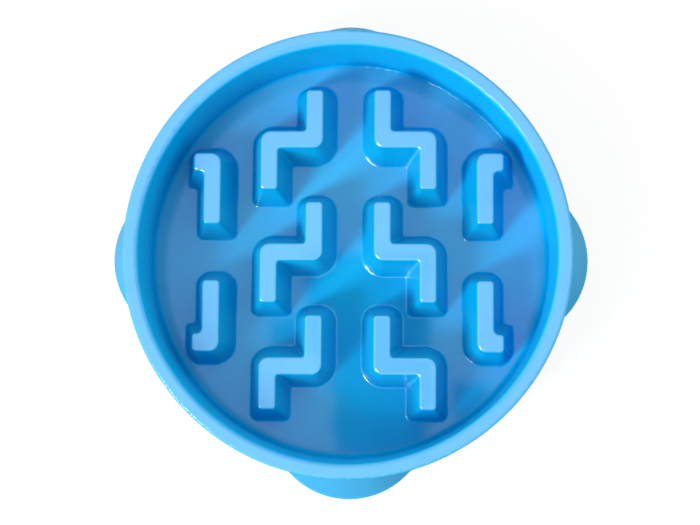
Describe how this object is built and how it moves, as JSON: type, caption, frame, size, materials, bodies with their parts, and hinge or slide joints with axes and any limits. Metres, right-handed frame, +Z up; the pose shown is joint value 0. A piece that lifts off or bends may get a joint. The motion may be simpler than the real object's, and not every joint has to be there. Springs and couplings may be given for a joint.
{
  "type": "slow feeder bowl",
  "caption": "Round one-piece plastic bowl with drafted zigzag and hooked ridges on its floor that slow a pet's eating, a rounded rim, and base lobes that stand on push-in rubber feet.",
  "frame": {"origin": "on the table plane, under the middle of the bowl", "axes": "+Z up, -Y towards the front of the picture, +X to the right"},
  "size_m": [0.2122, 0.2122, 0.045],
  "materials": {
    "azure_plastic": "glossy azure polypropylene, with faint flow streaks and a slightly softer gloss on the ridge tops",
    "foot_rubber": "matt pale grey soft rubber"
  },
  "bodies": {
    "root": {"bowl_shell": "azure_plastic", "foot_right": "foot_rubber", "foot_back": "foot_rubber", "foot_left": "foot_rubber", "foot_front": "foot_rubber"}
  },
  "joints": []
}
